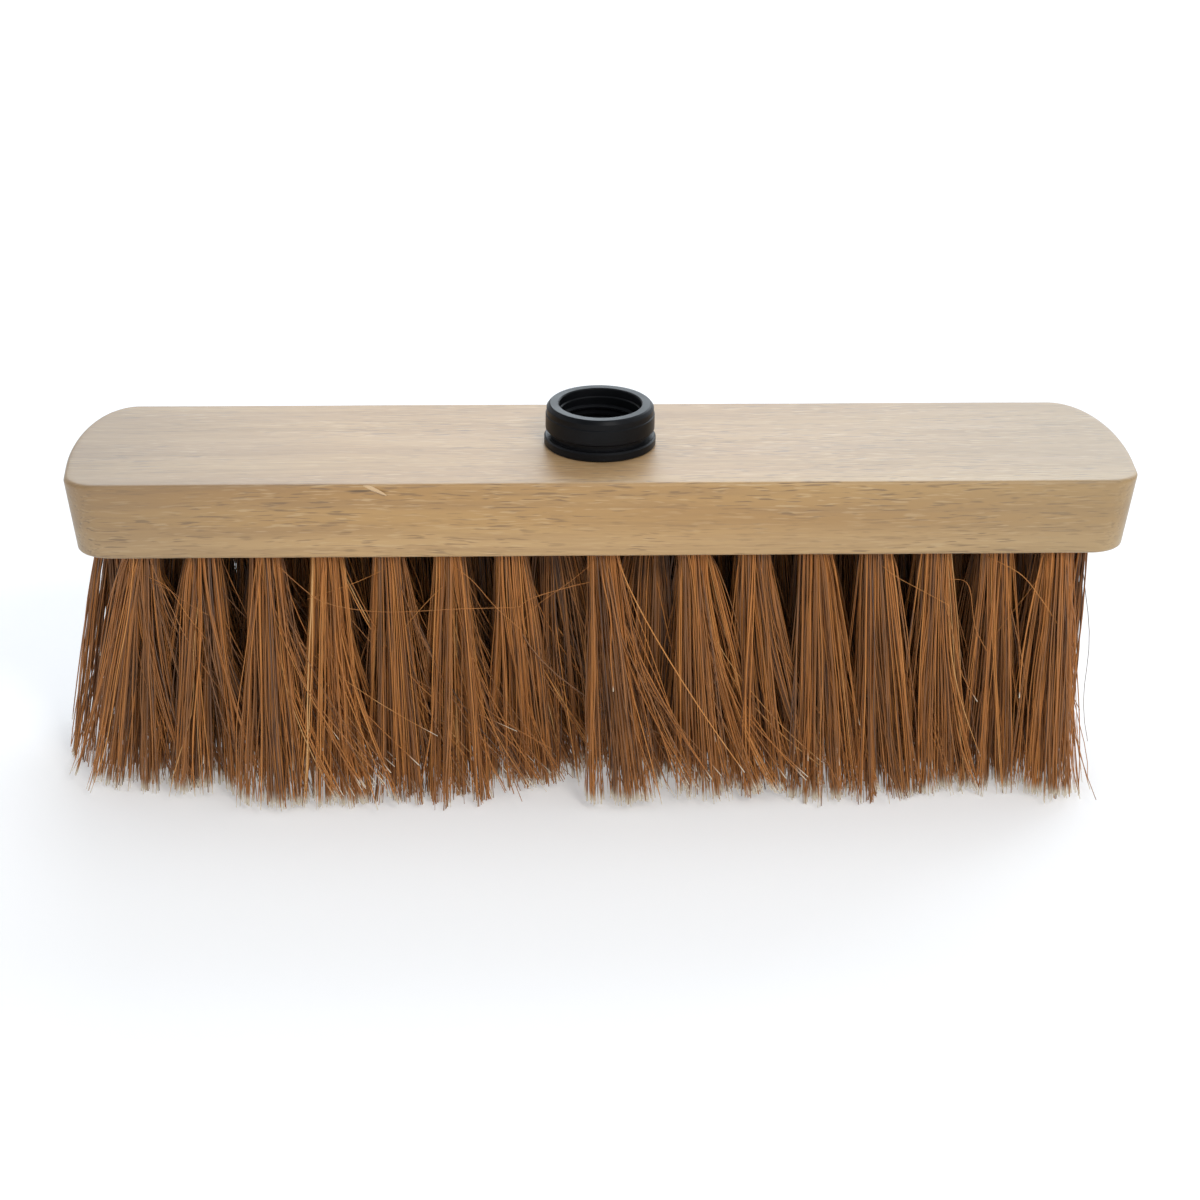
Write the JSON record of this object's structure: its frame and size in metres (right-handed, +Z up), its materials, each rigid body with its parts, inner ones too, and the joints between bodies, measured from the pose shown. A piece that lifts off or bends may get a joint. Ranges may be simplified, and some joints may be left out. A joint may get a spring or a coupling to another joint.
{
  "type": "push broom head",
  "caption": "Wooden push broom head with coir fibre tufts and a threaded plastic socket for a handle.",
  "frame": {"origin": "centre of the head on the plane of the bristle tips", "axes": "+X along the head, +Y from front to back, +Z up out of the handle socket"},
  "size_m": [0.29, 0.061, 0.1057],
  "materials": {
    "block_wood": "sanded, unvarnished",
    "socket_plastic": "moulded, semi-matt",
    "coir_fibre": "natural fibre",
    "coir_root": "natural fibre",
    "staple_wire": "drawn wire"
  },
  "bodies": {
    "head": {"block": "block_wood", "handle_socket": "socket_plastic", "front_row_roots": "coir_root", "second_row_roots": "coir_root", "middle_row_roots": "coir_root", "fourth_row_roots": "coir_root", "back_row_roots": "coir_root", "front_row_staples": "staple_wire", "second_row_staples": "staple_wire", "middle_row_staples": "staple_wire", "fourth_row_staples": "staple_wire", "back_row_staples": "staple_wire"},
    "front_row_bristles": {"front_row_tufts": "coir_fibre"},
    "second_row_bristles": {"second_row_tufts": "coir_fibre"},
    "middle_row_bristles": {"middle_row_tufts": "coir_fibre"},
    "fourth_row_bristles": {"fourth_row_tufts": "coir_fibre"},
    "back_row_bristles": {"back_row_tufts": "coir_fibre"}
  },
  "joints": [
    {"name": "front_row_flex", "type": "hinge", "parent": "head", "child": "front_row_bristles", "pos_m": [0, -0.022, 0.072], "axis": [1, 0, 0], "range_deg": [-25, 25], "stiffness_Nm_per_rad": 1},
    {"name": "second_row_flex", "type": "hinge", "parent": "head", "child": "second_row_bristles", "pos_m": [0, -0.011, 0.072], "axis": [1, 0, 0], "range_deg": [-25, 25], "stiffness_Nm_per_rad": 1},
    {"name": "middle_row_flex", "type": "hinge", "parent": "head", "child": "middle_row_bristles", "pos_m": [0, 0, 0.072], "axis": [1, 0, 0], "range_deg": [-25, 25], "stiffness_Nm_per_rad": 1},
    {"name": "fourth_row_flex", "type": "hinge", "parent": "head", "child": "fourth_row_bristles", "pos_m": [0, 0.011, 0.072], "axis": [1, 0, 0], "range_deg": [-25, 25], "stiffness_Nm_per_rad": 1},
    {"name": "back_row_flex", "type": "hinge", "parent": "head", "child": "back_row_bristles", "pos_m": [0, 0.022, 0.072], "axis": [1, 0, 0], "range_deg": [-25, 25], "stiffness_Nm_per_rad": 1}
  ],
  "couplings": [
    {"joint": "second_row_flex", "follows": "front_row_flex", "ratio": 1},
    {"joint": "middle_row_flex", "follows": "front_row_flex", "ratio": 1},
    {"joint": "fourth_row_flex", "follows": "front_row_flex", "ratio": 1},
    {"joint": "back_row_flex", "follows": "front_row_flex", "ratio": 1}
  ]
}
